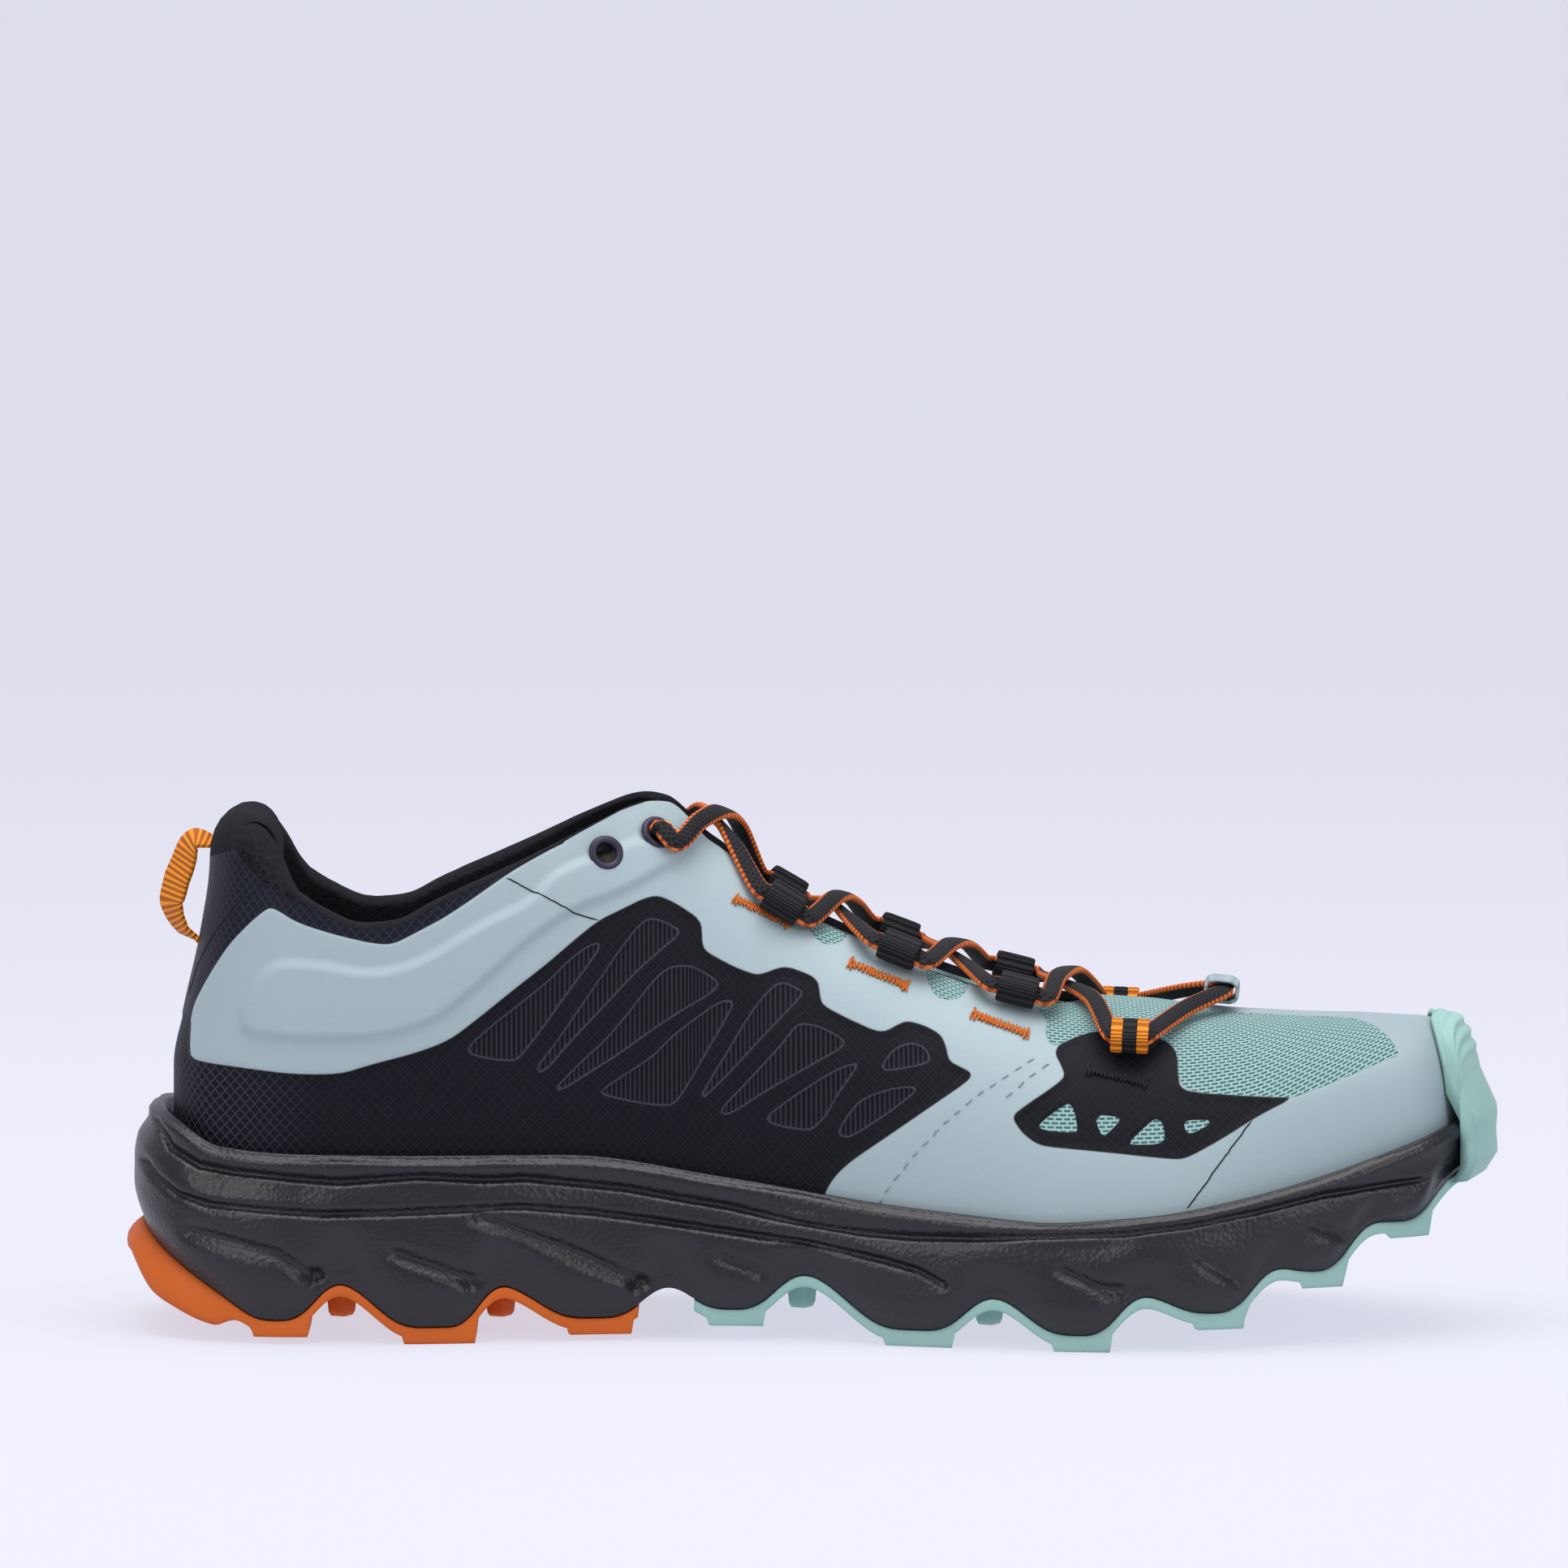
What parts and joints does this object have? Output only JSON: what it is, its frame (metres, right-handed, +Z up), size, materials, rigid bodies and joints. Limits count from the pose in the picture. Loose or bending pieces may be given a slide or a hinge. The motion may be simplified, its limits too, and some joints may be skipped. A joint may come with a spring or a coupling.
{
  "type": "trail running shoe",
  "caption": "Low-cut trail running shoe, left foot: wavy lugged two-part outsole, thick foam midsole, hollow film-and-mesh upper with padded collar, webbing lace loops and heel pull loop.",
  "frame": {"origin": "middle of the bounding box on the ground plane, under the sole", "axes": "+X from heel to toe, +Y to the outer side of the foot, +Z up; the shoe stands on its outsole"},
  "size_m": [0.29, 0.1025, 0.1108],
  "materials": {
    "heel_rubber": "matte",
    "toe_rubber": "matte",
    "midsole_foam": "satin",
    "insole_cloth": "matte",
    "upper_cloth": "matte",
    "tongue_mesh": "matte",
    "eyelet_metal": "satin",
    "black_webbing": "matte",
    "orange_webbing": "matte",
    "grey_film": "satin",
    "lace_cord": "matte"
  },
  "bodies": {
    "root": {"outsole_heel": "heel_rubber", "outsole_forefoot": "toe_rubber", "midsole": "midsole_foam", "insole": "insole_cloth", "upper": "upper_cloth", "tongue": "tongue_mesh", "eyelet_inner_1": "eyelet_metal", "eyelet_inner_2": "eyelet_metal", "eyelet_outer_1": "eyelet_metal", "eyelet_outer_2": "eyelet_metal", "lace_loop_inner_1": "black_webbing", "lace_loop_inner_2": "black_webbing", "lace_loop_inner_3": "black_webbing", "lace_loop_outer_1": "black_webbing", "lace_loop_outer_2": "black_webbing", "lace_loop_outer_3": "black_webbing", "forefoot_loop_inner": "orange_webbing", "forefoot_loop_outer": "orange_webbing", "toe_loop": "grey_film", "lace": "lace_cord", "heel_pull_loop": "orange_webbing"}
  },
  "joints": []
}
